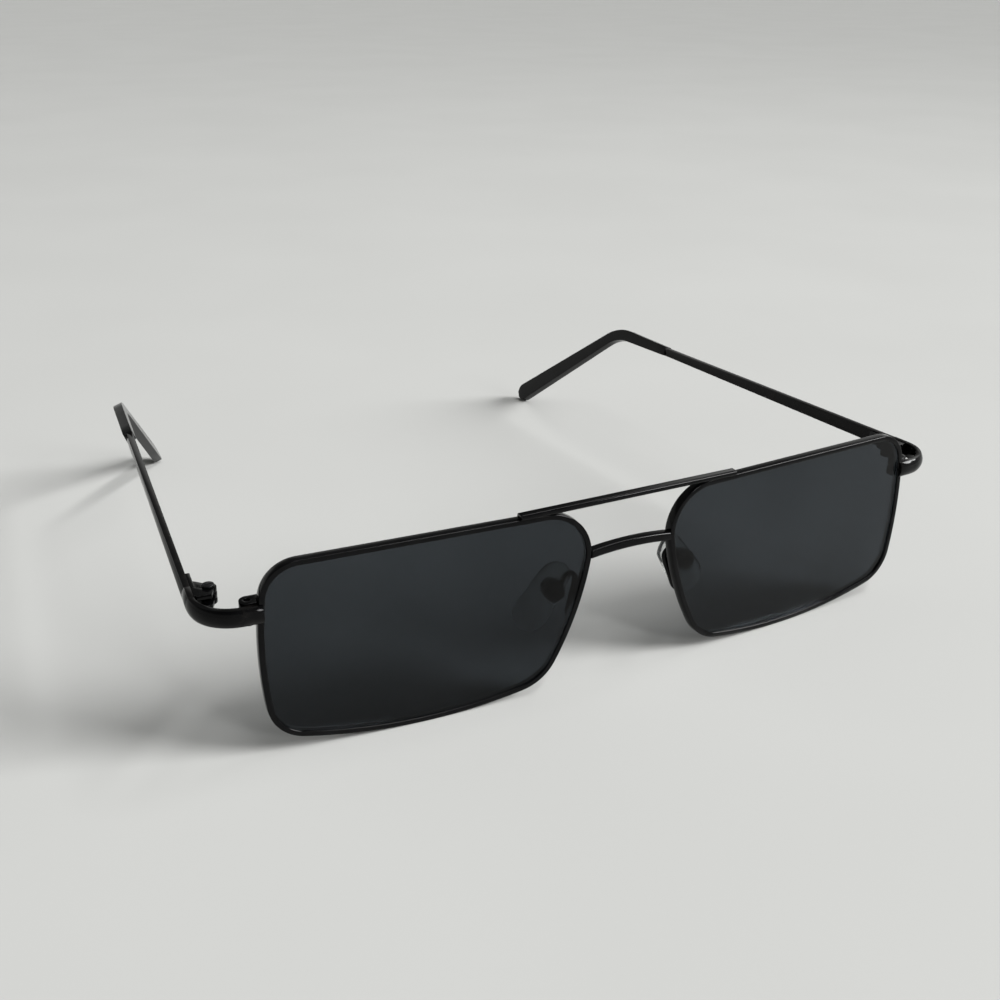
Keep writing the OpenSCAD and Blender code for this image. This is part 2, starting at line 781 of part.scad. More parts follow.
module pad_insert() {
  in_pad()
    difference() {
      union() {
        translate([-lug_width / 2, 0, seam - lug_length / 2])
          cube([lug_width, pad_stand + disc_thickness / 2, lug_length - 2 * seam]);
        rotate([0, 90, 0])
          translate([0, 0, -lug_width / 2])
            cylinder(h = lug_width, d = lug_length, $fn = small_fn);
        rotate([-90, 0, 0])
          translate([0, 0, pad_stand])
            cylinder(h = disc_thickness, d = disc_diameter, $fn = small_fn);
      }
      rotate([0, 90, 0])
        translate([0, 0, -lug_width])
          cylinder(
            h = 2 * lug_width,
            d = pad_screw_diameter + 2 * pad_pin_clearance,
            $fn = small_fn
          );
    }
}

// Outline of the pad, wider at its lower end
module pad_outline() {
  slope = asin((pad_bottom_radius - pad_top_radius) / (pad_top + pad_bottom));
  high = pad_top + pad_top_radius * sin(slope);
  low = -pad_bottom + pad_bottom_radius * sin(slope);
  high_half = pad_top_radius * cos(slope);
  low_half = pad_bottom_radius * cos(slope);
  union() {
    polygon([[-low_half, low], [low_half, low], [high_half, high], [-high_half, high]]);
    translate([0, pad_top]) circle(r = pad_top_radius - seam, $fn = bend_fn);
    translate([0, -pad_bottom]) circle(r = pad_bottom_radius - seam, $fn = bend_fn);
  }
}

module nose_pad() {
  middle = (pad_top + pad_top_radius - pad_bottom - pad_bottom_radius) / 2;
  in_pad()
    difference() {
      intersection() {
        slab(pad_stand, pad_stand + pad_thickness) pad_outline();
        translate([0, pad_stand + pad_thickness - pad_dome, middle]) sphere(r = pad_dome, $fn = bend_fn);
      }
      rotate([-90, 0, 0])
        translate([0, 0, pad_stand - over])
          cylinder(h = disc_thickness + over, d = disc_diameter, $fn = small_fn);
    }
}

half_lock = lock_height / 2;

module brow_bar() { color(black_metal) settle() brow_bar_shape(); }
module bridge() { color(black_metal) settle() bridge_shape(); }
module left_eyewire() { color(black_metal) settle() eyewire(); }
module right_eyewire() { color(black_metal) settle() other_side() eyewire(); }
module left_lens() { color(smoke) settle() lens(); }
module right_lens() { color(smoke) settle() other_side() lens(); }
module left_closing_block_upper() {
  color(black_metal)
    settle() closing_block(rim_cut / 2, half_lock, lock_screw + 2 * thread_gap);
}
module right_closing_block_upper() {
  color(black_metal)
    settle() other_side() closing_block(rim_cut / 2, half_lock, lock_screw + 2 * thread_gap);
}
module left_closing_block_lower() {
  color(black_metal)
    settle() closing_block(-half_lock, -rim_cut / 2, lock_screw + 4 * thread_gap);
}
module right_closing_block_lower() {
  color(black_metal)
    settle() other_side() closing_block(-half_lock, -rim_cut / 2, lock_screw + 4 * thread_gap);
}
module left_rim_lock_screw() { color(dark_steel) settle() rim_lock_screw_shape(); }
module right_rim_lock_screw() { color(dark_steel) settle() other_side() rim_lock_screw_shape(); }
module left_end_piece() { color(black_metal) settle() end_piece(); }
module right_end_piece() { color(black_metal) settle() other_side() end_piece(); }
module left_front_hinge() { color(dark_steel) settle() front_hinge(); }
module right_front_hinge() { color(dark_steel) settle() other_side() front_hinge(); }
module left_temple_hinge() { color(dark_steel) settle() temple_hinge(); }
module right_temple_hinge() { color(dark_steel) settle() other_side() temple_hinge(); }
module left_hinge_screw() { color(dark_steel) settle() hinge_screw_shape(); }
module right_hinge_screw() { color(dark_steel) settle() other_side() hinge_screw_shape(); }
module left_temple() { color(black_metal) settle() temple(); }
module right_temple() { color(black_metal) settle() other_side() temple(); }
module left_temple_tip() { color(black_plastic) settle() temple_tip(); }
module right_temple_tip() { color(black_plastic) settle() other_side() temple_tip(); }
module left_pad_arm() { color(black_metal) settle() pad_arm(); }
module right_pad_arm() { color(black_metal) settle() other_side() pad_arm(); }
module left_pad_box() { color(black_metal) settle() pad_box(); }
module right_pad_box() { color(black_metal) settle() other_side() pad_box(); }
module left_pad_screw() { color(dark_steel) settle() pad_screw_shape(); }
module right_pad_screw() { color(dark_steel) settle() other_side() pad_screw_shape(); }
module left_pad_insert() { color(dark_steel) settle() pad_insert(); }
module right_pad_insert() { color(dark_steel) settle() other_side() pad_insert(); }
module left_nose_pad() { color(clear_plastic) settle() nose_pad(); }
module right_nose_pad() { color(clear_plastic) settle() other_side() nose_pad(); }

brow_bar();
bridge();
right_eyewire();
left_eyewire();
right_lens();
left_lens();
right_closing_block_upper();
left_closing_block_upper();
right_closing_block_lower();
left_closing_block_lower();
right_rim_lock_screw();
left_rim_lock_screw();
right_end_piece();
left_end_piece();
right_front_hinge();
left_front_hinge();
right_temple_hinge();
left_temple_hinge();
right_hinge_screw();
left_hinge_screw();
right_temple();
left_temple();
right_temple_tip();
left_temple_tip();
right_pad_arm();
left_pad_arm();
right_pad_box();
left_pad_box();
right_pad_screw();
left_pad_screw();
right_pad_insert();
left_pad_insert();
right_nose_pad();
left_nose_pad();
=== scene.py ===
# %% [markdown]
# # Slim square sunglasses
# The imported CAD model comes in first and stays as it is: it is the frame that
# everything else is fitted to. Sunglasses are mostly thin black metal, so the look
# depends on small things: the narrow bright line that every edge of the wire shows,
# the dark lens that both mirrors and lets through, and the clear pads behind it.

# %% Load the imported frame
import math

import bmesh
import bpy
from mathutils import Matrix, Vector


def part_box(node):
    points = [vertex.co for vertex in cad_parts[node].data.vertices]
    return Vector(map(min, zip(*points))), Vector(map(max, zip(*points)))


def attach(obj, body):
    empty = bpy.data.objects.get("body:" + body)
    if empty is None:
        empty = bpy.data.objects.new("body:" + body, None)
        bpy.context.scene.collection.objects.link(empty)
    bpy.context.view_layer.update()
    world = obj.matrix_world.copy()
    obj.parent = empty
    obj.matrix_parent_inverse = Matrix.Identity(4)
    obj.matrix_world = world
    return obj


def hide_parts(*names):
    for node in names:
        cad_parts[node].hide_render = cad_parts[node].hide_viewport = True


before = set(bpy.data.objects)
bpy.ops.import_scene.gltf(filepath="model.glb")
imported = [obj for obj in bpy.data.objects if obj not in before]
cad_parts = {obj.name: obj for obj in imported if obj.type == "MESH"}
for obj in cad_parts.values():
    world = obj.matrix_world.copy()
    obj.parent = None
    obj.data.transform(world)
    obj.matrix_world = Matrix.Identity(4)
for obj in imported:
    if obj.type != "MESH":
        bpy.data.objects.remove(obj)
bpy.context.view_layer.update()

# %% [markdown]
# Lengths on the glasses are written in millimetres, as an optician would, and
# multiplied by MM where Blender needs metres. The glasses were drawn from their front
# plane, and then moved forwards by half of their depth, so the same shift is kept
# here. Only the left pad, arm and tip are modelled. The right ones are mirrored.

# %% Where the left pad and the left tip sit
MM = 0.001
FRONT_PLANE = -65.5732
LENS_CENTRE_UP = 16.79989
PAD_SCREW = (13.09836, FRONT_PLANE + 2, LENS_CENTRE_UP + 1.2)
PAD_TURN, PAD_NOD, PAD_SPLAY = 11, -4, -34
HINGE = (68.20164, FRONT_PLANE + 11.3, 25.75)
TEMPLE_TURN = 5.2
TIP_START = (3.3, 72, 0)
TIP_LEAN = 21


def moved(x, y, z):
    return Matrix.Translation(Vector((x, y, z)) * MM)


def turned(degrees, axis):
    return Matrix.Rotation(math.radians(degrees), 4, axis)


pad_place = (
    moved(*PAD_SCREW)
    @ turned(PAD_TURN, "Z") @ turned(PAD_NOD, "X") @ turned(PAD_SPLAY, "Y")
)
temple_place = moved(*HINGE) @ turned(TEMPLE_TURN, "Z")
# The tip is drawn along X, so two quarter turns lay it along the temple.
tip_place = (
    temple_place @ moved(*TIP_START)
    @ turned(TIP_LEAN, "Y") @ turned(90, "Z") @ turned(90, "X")
)
print("left pad screw at", [round(v / MM, 2) for v in pad_place.translation])
print("left tip starts at", [round(v / MM, 2) for v in tip_place.translation])

# %% [markdown]
# An operator works on whatever is selected, and the CAD nodes arrive selected. So
# each step begins with empty hands, and then takes only the piece that it works on.
# Most pieces come as a left and a right one, and kind_of drops the side from a name.

# %% Helpers for taking a piece in hand
def clear_hands():
    if bpy.context.object and bpy.context.object.mode != "OBJECT":
        bpy.ops.object.mode_set(mode="OBJECT")
    bpy.ops.object.select_all(action="DESELECT")


def take(piece):
    clear_hands()
    piece.select_set(True)
    bpy.context.view_layer.objects.active = piece


def kind_of(name):
    return name.removeprefix("left_").removeprefix("right_")


print("kinds of piece:", len({kind_of(name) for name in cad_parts}))

# %% [markdown]
# ## The metal's edges
# No edge on a real wire is as sharp as a computer's. Lacquer rounds it to a tenth or
# two of a millimetre, and that small round is what catches the light as one fine
# line. One could model it into each piece. Three live modifiers do it without
# touching the CAD mesh: Weld joins the loose triangles, a planar Decimate clears the
# lines inside flat faces, and Bevel rounds only the sharp edges that are left.

# %% Round the edges of one node
SAME_POINT = 0.0005
FLAT_WITHIN = 0.4
SHARP_FROM = 32


def round_edges(node, width, weld_reach, may_narrow):
    take(node)
    weld = node.modifiers.new("join_triangles", "WELD")
    weld.merge_threshold = weld_reach * MM
    flat = node.modifiers.new("clear_flat_faces", "DECIMATE")
    flat.decimate_type = "DISSOLVE"
    flat.angle_limit = math.radians(FLAT_WITHIN)
    if width > 0:
        edge = node.modifiers.new("round_edges", "BEVEL")
        edge.width = width * MM
        edge.segments = 3
        edge.limit_method = "ANGLE"
        edge.angle_limit = math.radians(SHARP_FROM)
        edge.harden_normals = True
        edge.use_clamp_overlap = may_narrow
    bpy.ops.object.shade_smooth_by_angle(
        angle=math.radians(SHARP_FROM), keep_sharp_edges=False
    )
    clear_hands()


print("flat within", FLAT_WITHIN, "degrees, sharp from", SHARP_FROM, "degrees")

# %% [markdown]
# Bevel narrows itself everywhere as soon as one edge is too short for it. The rims
# have a step of a hundredth of a millimetre where each straight run meets its bend.
# So there Weld reaches a little further and takes the step away, and Bevel may then
# keep its full width. The closing blocks have the same step and get the same cure.
# The end pieces and temples have such steps too, but rounding them fully left rings
# and spikes there, so Bevel may narrow itself on them and their edges stay sharp. The
# pad boxes are cups with a thin wall, which Bevel would fold over itself, so their
# width is 0 and they keep the edges that they have.

# %% Round the metal
edge_rounds = {
    "brow_bar": 0.14, "bridge": 0.16,
    "eyewire": 0.17, "end_piece": 0.22, "temple": 0.18,
    "closing_block_upper": 0.14, "closing_block_lower": 0.14,
    "front_hinge": 0.1, "temple_hinge": 0.1,
    "rim_lock_screw": 0.07, "hinge_screw": 0.08,
    "pad_box": 0, "pad_screw": 0.06, "pad_insert": 0.06,
}
STEP_REACH = 0.03
cured_of_steps = ("eyewire", "closing_block_upper", "closing_block_lower")
for name, node in sorted(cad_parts.items()):
    kind = kind_of(name)
    if kind in cured_of_steps:
        round_edges(node, edge_rounds[kind], STEP_REACH, may_narrow=False)
    elif kind in edge_rounds:
        round_edges(node, edge_rounds[kind], SAME_POINT, may_narrow=True)
live = [name for name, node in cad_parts.items() if node.modifiers]
print("nodes with live modifiers:", len(live))

# %% [markdown]
# ## Temple tips
# The tip is a moulded sleeve pushed over the temple's thin end. From the side it
# widens slowly from the metal strip to a round end, and it is bent down behind the
# ear. A good way to model it is to sweep its cross-section: a plane the size of the
# sleeve's mouth is extruded along the straight part, spun round the bend, and
# extruded on in short steps that grow and then close to the round end.

# %% Sweep the straight part of the tip
TIP_STRAIGHT = 14.4
STRAIGHT_STEPS = 4
MOUTH_HEIGHT = 2.2
BEND_HEIGHT = 2.7
TIP_THICKNESS = 1.9

clear_hands()
bpy.ops.mesh.primitive_plane_add(size=MM, rotation=(0, math.radians(90), 0))
left_tip = bpy.context.object
left_tip.name = left_tip.data.name = "left_tip_sleeve"
bpy.ops.object.transform_apply(location=False, rotation=True, scale=False)
bpy.ops.object.mode_set(mode="EDIT")
bpy.ops.mesh.select_all(action="SELECT")
bpy.ops.transform.resize(value=(1, MOUTH_HEIGHT, TIP_THICKNESS))


def grow_section(step, growth, end):
    """Extrudes the selected section by step along X, and makes it growth times as tall."""
    along = Vector((step, 0, 0)) * MM
    bpy.ops.mesh.extrude_region_move(TRANSFORM_OT_translate={"value": along})
    bpy.ops.transform.resize(value=(1, growth, 1), center_override=Vector((end, 0, 0)) * MM)


for part in range(STRAIGHT_STEPS):
    before = MOUTH_HEIGHT + (BEND_HEIGHT - MOUTH_HEIGHT) * part / STRAIGHT_STEPS
    after = MOUTH_HEIGHT + (BEND_HEIGHT - MOUTH_HEIGHT) * (part + 1) / STRAIGHT_STEPS
    grow_section(
        step=TIP_STRAIGHT / STRAIGHT_STEPS, growth=after / before,
        end=TIP_STRAIGHT * (part + 1) / STRAIGHT_STEPS,
    )
print("straight part swept,", len(bmesh.from_edit_mesh(left_tip.data).verts), "vertices")

# %% [markdown]
# The bend is a true arc, so Spin makes it in one step about a point below the
# straight part. Spin turns clockwise about its axis, seen against the axis, so an
# axis along +Z bends the sleeve down.

# %% Bend the tip
BEND_RADIUS = 12.0
BEND_ANGLE = 40.0
BEND_STEPS = 14

bpy.ops.mesh.spin(
    steps=BEND_STEPS, angle=math.radians(BEND_ANGLE), dupli=False,
    center=Vector((TIP_STRAIGHT, -BEND_RADIUS, 0)) * MM, axis=(0, 0, 1),
)
bend_end = Vector((
    TIP_STRAIGHT + BEND_RADIUS * math.sin(math.radians(BEND_ANGLE)),
    -BEND_RADIUS * (1 - math.cos(math.radians(BEND_ANGLE))), 0,
))
bpy.ops.mesh.select_all(action="SELECT")
bpy.ops.object.mode_set(mode="OBJECT")
print("the bend ends at", [round(v, 2) for v in bend_end], "mm from the mouth")

# %% [markdown]
# Vertices, edges and faces have no names, so they are picked by where they are or
# which way they face. These helpers do that, and set a finished piece in its place.

# %% Helpers for picking and placing
def pick(piece, kind, wanted):
    """Goes into edit mode with only the wanted parts selected, and counts them."""
    bpy.ops.object.mode_set(mode="EDIT")
    bpy.ops.mesh.select_mode(type=kind)
    bpy.ops.mesh.select_all(action="DESELECT")
    shell = bmesh.from_edit_mesh(piece.data)
    shell.normal_update()
    parts = {"VERT": shell.verts, "EDGE": shell.edges, "FACE": shell.faces}[kind]
    chosen = [part for part in parts if wanted(part)]
    for part in chosen:
        part.select_set(True)
    if kind == "VERT":
        shell.select_flush(True)
    bmesh.update_edit_mesh(piece.data)
    return len(chosen)


def put_in_place(piece, place):
    """Moves a piece modelled at the origin, and leaves its place in its mesh."""
    take(piece)
    piece.matrix_world = place
    bpy.ops.object.transform_apply(location=True, rotation=True, scale=True)


def measured(piece):
    size = piece.dimensions / MM
    faces = len(piece.data.polygons)
    return f"{piece.name}: {size.x:.1f} x {size.y:.1f} x {size.z:.1f} mm, {faces} faces"


print("so far", measured(left_tip))

# %% [markdown]
# Beyond the bend only the height grows, which is easiest along an axis. So the sleeve
# is turned until its open end lies at the origin and runs along X, its end face is
# picked there and extruded on, and the sleeve is turned back.

# %% Widen the tip and close its end
TIP_REACH = 34.568
REACH_STEPS = 6
REACH_HALF_HEIGHT = 2.199
END_RADIUS = 2.19
END_TURNS = (12, 24, 36, 47, 57, 66, 73.5)
HAIR = 0.01
FACING = 0.99


def is_open_end(face):
    return abs(face.calc_center_median().x) < HAIR * MM and abs(face.normal.x) > FACING


unbend = turned(BEND_ANGLE, "Z") @ Matrix.Translation(-bend_end * MM)
put_in_place(left_tip, unbend)
ends = pick(left_tip, "FACE", is_open_end)
stations = []
for part in range(REACH_STEPS + 1):
    widening = (REACH_HALF_HEIGHT - BEND_HEIGHT / 2) * part / REACH_STEPS
    stations.append((TIP_REACH * part / REACH_STEPS, BEND_HEIGHT / 2 + widening))
for turn in END_TURNS:
    sine, cosine = math.sin(math.radians(turn)), math.cos(math.radians(turn))
    stations.append((TIP_REACH + END_RADIUS * sine, END_RADIUS * cosine))
for (start, half), (end, next_half) in zip(stations, stations[1:]):
    grow_section(step=end - start, growth=next_half / half, end=end)
bpy.ops.object.mode_set(mode="OBJECT")
put_in_place(left_tip, unbend.inverted())
print("picked end faces:", ends, "|", measured(left_tip))

# %% [markdown]
# A moulded sleeve is round along its length. The four long edges get a wide bevel,
# and the mouth, where the metal strip goes in, only a narrow one, as on a real tip.

# %% Round the tip and set it in place
CORNER_FROM = 50
LONG_ROUND = 0.8
MOUTH_ROUND = 0.15
TIP_SMOOTH_TO = 35


def faces_outwards(piece):
    bpy.ops.object.mode_set(mode="EDIT")
    bpy.ops.mesh.select_all(action="SELECT")
    bpy.ops.mesh.normals_make_consistent(inside=False)
    bpy.ops.object.mode_set(mode="OBJECT")


def is_corner(edge):
    return len(edge.link_faces) == 2 and edge.calc_face_angle() > math.radians(CORNER_FROM)


def is_at_mouth(edge):
    return max(abs(vertex.co.x) for vertex in edge.verts) < HAIR * MM


faces_outwards(left_tip)
long_edges = pick(left_tip, "EDGE", lambda edge: is_corner(edge) and not is_at_mouth(edge))
bpy.ops.mesh.bevel(offset=LONG_ROUND * MM, segments=7, affect="EDGES", clamp_overlap=True)
mouth_edges = pick(left_tip, "EDGE", lambda edge: is_corner(edge) and is_at_mouth(edge))
bpy.ops.mesh.bevel(offset=MOUTH_ROUND * MM, segments=3, affect="EDGES", clamp_overlap=True)
bpy.ops.object.mode_set(mode="OBJECT")
put_in_place(left_tip, tip_place)
bpy.ops.object.shade_smooth_by_angle(
    angle=math.radians(TIP_SMOOTH_TO), keep_sharp_edges=False
)
print("long edges:", long_edges, "mouth edges:", mouth_edges)

# %% [markdown]
# The right tip is the left one mirrored. Scaling by -1 turns a mesh inside out, so
# its faces are turned outwards again. Each sleeve then takes the place of the CAD
# tip, and rides on the body that swings with its temple.

# %% Mirror the tip and hand both over
def mirrored(piece, name):
    """A copy for the right side, with a mesh of its own."""
    take(piece)
    bpy.ops.object.duplicate(linked=False)
    other = bpy.context.object
    other.name = name
    other.data.name = name
    other.scale.x = -1
    bpy.ops.object.transform_apply(location=True, rotation=True, scale=True)
    faces_outwards(other)
    return other


right_tip = mirrored(left_tip, "right_tip_sleeve")
for piece, side in ((left_tip, "left"), (right_tip, "right")):
    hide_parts(f"{side}_temple_tip")
    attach(piece, f"{side}_side")
    low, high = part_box(f"{side}_temple_tip")
    print(measured(piece), "| the CAD tip is", [round(v, 1) for v in (high - low) / MM])

# %% [markdown]
# ## Nose pads
# A pad is a small drop of clear soft plastic, wider at its lower end, with a domed
# face for the nose. It starts as a round plate of the lower end's radius. Its upper
# half is moved up and drawn in, which gives the drop. The plate then gets its
# thickness, and a ring or two of faces inside each side so that it can be domed.

# %% Cut and thicken one pad
PAD_FRONT = 1.42
PAD_BACK = 3.5
PAD_TOP = 1.9
PAD_BOTTOM = -5.7
TOP_RADIUS = 2.7
BOTTOM_RADIUS = 3.4

clear_hands()
bpy.ops.mesh.primitive_circle_add(
    vertices=40, radius=BOTTOM_RADIUS * MM, fill_type="NGON",
    location=Vector((0, PAD_FRONT, PAD_BOTTOM)) * MM, rotation=(math.radians(90), 0, 0),
)
left_pad = bpy.context.object
left_pad.name = left_pad.data.name = "left_clear_pad"
bpy.ops.object.transform_apply(location=True, rotation=True, scale=True)
upper = pick(left_pad, "VERT", lambda vertex: vertex.co.z > (PAD_BOTTOM + HAIR) * MM)
bpy.ops.transform.translate(value=Vector((0, 0, PAD_TOP - PAD_BOTTOM)) * MM)
narrowing = TOP_RADIUS / BOTTOM_RADIUS
bpy.ops.transform.resize(
    value=(narrowing, 1, narrowing), center_override=Vector((0, PAD_FRONT, PAD_TOP)) * MM
)
bpy.ops.mesh.select_all(action="SELECT")
bpy.ops.mesh.extrude_region_move(
    TRANSFORM_OT_translate={"value": Vector((0, PAD_BACK - PAD_FRONT, 0)) * MM}
)
faces_outwards(left_pad)
print("upper half:", upper, "vertices |", measured(left_pad))

# %% [markdown]
# The side towards the nose bulges a little. Inset leaves rings of faces on both sides
# of the plate, and the points of the nose side are then laid on a ball, so that the
# middle stays where it is and the edge falls back.

# %% Ring and dome the pad
RINGS = (0.35, 0.6, 0.8)
DOME = 16.0

for way in (1, -1):
    pick(left_pad, "FACE", lambda face: way * face.normal.y > FACING)
    for width in RINGS:
        bpy.ops.mesh.inset(thickness=width * MM, depth=0)
bpy.ops.object.mode_set(mode="OBJECT")
inside = (PAD_FRONT + PAD_BACK) / 2
middle_up = (PAD_TOP + TOP_RADIUS + PAD_BOTTOM - BOTTOM_RADIUS) / 2
for vertex in left_pad.data.vertices:
    x, y, z = vertex.co / MM
    across = math.hypot(x, z - middle_up)
    if y > inside:
        vertex.co.y = (PAD_BACK - DOME + math.sqrt(DOME ** 2 - across ** 2)) * MM
print("ringed and domed,", measured(left_pad))

# %% [markdown]
# Soft plastic has no corner at all. Subdivision Surface rounds the whole drop, and is
# applied, so that the mirrored pad is a copy of the finished mesh.

# %% Soften the pad and hand both over
take(left_pad)
soften = left_pad.modifiers.new("soft_plastic", "SUBSURF")
soften.levels = soften.render_levels = 2
bpy.ops.object.modifier_apply(modifier=soften.name)
bpy.ops.object.shade_smooth()
put_in_place(left_pad, pad_place)
right_pad = mirrored(left_pad, "right_clear_pad")
bpy.ops.object.shade_smooth()
for piece, side in ((left_pad, "left"), (right_pad, "right")):
    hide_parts(f"{side}_nose_pad")
    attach(piece, f"{side}_pad")
    low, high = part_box(f"{side}_nose_pad")
    print(measured(piece), "| the CAD pad is", [round(v, 1) for v in (high - low) / MM])

# %% [markdown]
# ## Pad arms
# Each pad hangs on one wire. It leaves the back of the rim, turns up, runs over in a
# small loop that lets the optician bend it, and ends on the pad's round box. A curve
# with a round bevel is the natural way to draw a bent wire, because its bends stay
# smooth and its thickness even. It is then made a mesh, like every other piece.

# %% Draw the line of one pad arm
arm_knots = [
    # point, handle before, handle after, all in mm from the front plane
    ((10.985, 0.10, 13.50), (11.00, -0.10, 13.50), (10.96, 0.45, 13.50)),
    ((10.70, 0.89, 14.29), (10.91, 0.81, 13.58), (10.55, 0.95, 14.80)),
    ((9.10, 1.50, 19.40), (9.22, 1.47, 18.60), (9.06, 1.51, 19.95)),
    ((10.25, 1.50, 20.70), (9.60, 1.50, 20.70), (10.90, 1.50, 20.70)),
    ((11.38, 1.52, 19.62), (11.37, 1.50, 20.20), (11.39, 1.54, 19.40)),
    ((11.98, 1.67, 19.02), (11.74, 1.60, 19.24), (12.10, 1.70, 18.90)),
]
clear_hands()
bpy.ops.curve.primitive_bezier_curve_add(radius=MM)
left_arm = bpy.context.object
left_arm.name = left_arm.data.name = "left_pad_wire"
wire_line = left_arm.data.splines[0]
wire_line.bezier_points.add(len(arm_knots) - len(wire_line.bezier_points))
lift = Vector((0, FRONT_PLANE, 0))
for knot, (place, before, after) in zip(wire_line.bezier_points, arm_knots):
    knot.handle_left_type = knot.handle_right_type = "FREE"
    knot.co = (Vector(place) + lift) * MM
    knot.handle_left = (Vector(before) + lift) * MM
    knot.handle_right = (Vector(after) + lift) * MM
print("the arm's line has", len(wire_line.bezier_points), "knots")

# %% [markdown]
# The curve's own bevel gives it a round section, and caps close its two ends. Once it
# is a mesh, points that lie on each other are merged, and the faces turned outwards.

# %% Give the arm its thickness and hand both over
ARM_WIRE = 0.95
ARM_SMOOTH_TO = 40

left_arm.data.dimensions = "3D"
left_arm.data.resolution_u = 14
left_arm.data.bevel_depth = ARM_WIRE / 2 * MM
left_arm.data.bevel_resolution = 6
left_arm.data.use_fill_caps = True
bpy.ops.object.convert(target="MESH")
left_arm = bpy.context.object
bpy.ops.object.mode_set(mode="EDIT")
bpy.ops.mesh.select_all(action="SELECT")
bpy.ops.mesh.remove_doubles(threshold=SAME_POINT * MM)
faces_outwards(left_arm)
bpy.ops.object.shade_smooth_by_angle(
    angle=math.radians(ARM_SMOOTH_TO), keep_sharp_edges=False
)
right_arm = mirrored(left_arm, "right_pad_wire")
for piece, side in ((left_arm, "left"), (right_arm, "right")):
    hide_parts(f"{side}_pad_arm")
    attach(piece, "front")
    low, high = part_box(f"{side}_pad_arm")
    print(measured(piece), "| the CAD arm is", [round(v, 1) for v in (high - low) / MM])

# %% [markdown]
# ## Finishes
# Every finish starts from the Principled shader. What is the same all over, such as
# how metallic it is, is typed on the shader. What varies is driven by noise that
# reads the object's own coordinates, so it stays on the piece from every side. Noise
# spends most of its area near its middle value, so only that middle is spread out.

# %% Helpers that make a finish and its noise
def new_finish(name):
    finish = bpy.data.materials.new(name)
    finish.use_nodes = True
    return finish, finish.node_tree, finish.node_tree.nodes["Principled BSDF"]


def grain(tree, size, detail=3.0, stretch=(1, 1, 1)):
    """Noise whose spots are about size mm across, drawn out by stretch."""
    place = tree.nodes.new("ShaderNodeTexCoord")
    stretching = tree.nodes.new("ShaderNodeMapping")
    stretching.inputs["Scale"].default_value = stretch
    noise = tree.nodes.new("ShaderNodeTexNoise")
    noise.inputs["Scale"].default_value = 1 / (size * MM)
    noise.inputs["Detail"].default_value = detail
    tree.links.new(place.outputs["Object"], stretching.inputs["Vector"])
    tree.links.new(stretching.outputs["Vector"], noise.inputs["Vector"])
    return noise.outputs["Fac"]


print("finish helpers ready")

# %% [markdown]
# Three more helpers turn that noise into something that one sees: a colour between
# two others, a gloss between two others, and a relief that tilts the reflections. A
# fourth makes one value of two, where a finish depends on both.

# %% Helpers that turn noise into colour, gloss and relief
def shade_range(tree, source, dark, light):
    """Turns the middle of a noise value into a colour between dark and light."""
    ramp = tree.nodes.new("ShaderNodeValToRGB")
    ramp.color_ramp.elements[0].position = 0.35
    ramp.color_ramp.elements[1].position = 0.65
    ramp.color_ramp.elements[0].color = (*dark, 1)
    ramp.color_ramp.elements[1].color = (*light, 1)
    tree.links.new(source, ramp.inputs["Fac"])
    return ramp.outputs["Color"]


def value_range(tree, source, low, high, start=0.3, end=0.7):
    """Spreads a value from start to end over the range from low to high."""
    spread = tree.nodes.new("ShaderNodeMapRange")
    spread.inputs["From Min"].default_value = start
    spread.inputs["From Max"].default_value = end
    spread.inputs["To Min"].default_value = low
    spread.inputs["To Max"].default_value = high
    tree.links.new(source, spread.inputs["Value"])
    return spread.outputs["Result"]


def relief(tree, source, height, strength):
    """Bump of about height mm."""
    bump = tree.nodes.new("ShaderNodeBump")
    bump.inputs["Strength"].default_value = strength
    bump.inputs["Distance"].default_value = height * MM
    tree.links.new(source, bump.inputs["Height"])
    return bump.outputs["Normal"]


def combined(tree, operation, first, second):
    """One value made of two, by an operation of the Math node."""
    both = tree.nodes.new("ShaderNodeMath")
    both.operation = operation
    tree.links.new(first, both.inputs[0])
    tree.links.new(second, both.inputs[1])
    return both.outputs["Value"]


print("colour, gloss and relief helpers ready")

# %% [markdown]
# **Black lacquer on metal.** The wire is stamped metal under a thin, hard, glossy
# black coat. The coat flows a little, so it has a very faint unevenness like orange
# peel, its gloss varies where fingers touched it, and on the sharpest edges it wears
# to a slightly warmer black. Much of this is easy to overdo on a wire one millimetre
# wide, so each of the three stays small.

# %% Black lacquer
black_lacquer, tree, shader = new_finish("black_lacquer")
black_coat = shade_range(
    tree, grain(tree, size=2.5), dark=(0.0008, 0.0008, 0.001), light=(0.0025, 0.0025, 0.0028)
)
edges = tree.nodes.new("ShaderNodeNewGeometry")
worn = value_range(tree, edges.outputs["Pointiness"], low=0, high=1, start=0.53, end=0.66)
patches = value_range(tree, grain(tree, size=1.2), low=0.0, high=0.6)
rub = tree.nodes.new("ShaderNodeMix")
rub.data_type = "RGBA"
rub.inputs["B"].default_value = (0.011, 0.0098, 0.0088, 1)
tree.links.new(combined(tree, "MULTIPLY", worn, patches), rub.inputs["Factor"])
tree.links.new(black_coat, rub.inputs["A"])
tree.links.new(rub.outputs["Result"], shader.inputs["Base Color"])
tree.links.new(
    value_range(tree, grain(tree, size=3.5), low=0.08, high=0.13), shader.inputs["Roughness"]
)
peel = grain(tree, size=0.5, detail=1.0)
tree.links.new(relief(tree, peel, height=0.0012, strength=0.3), shader.inputs["Normal"])
shader.inputs["IOR"].default_value = 1.22
print("black lacquer:", len(tree.nodes), "nodes")

# %% [markdown]
# **Darkened steel.** The frame is lacquered with its hinge leaves brazed on, so they
# are as black as the wire. The screws go in afterwards: they are bare turned steel
# with a dark film. They are metal, so colour goes with the reflection, and fine tool
# marks run along them, which a noise stretched in one direction gives.

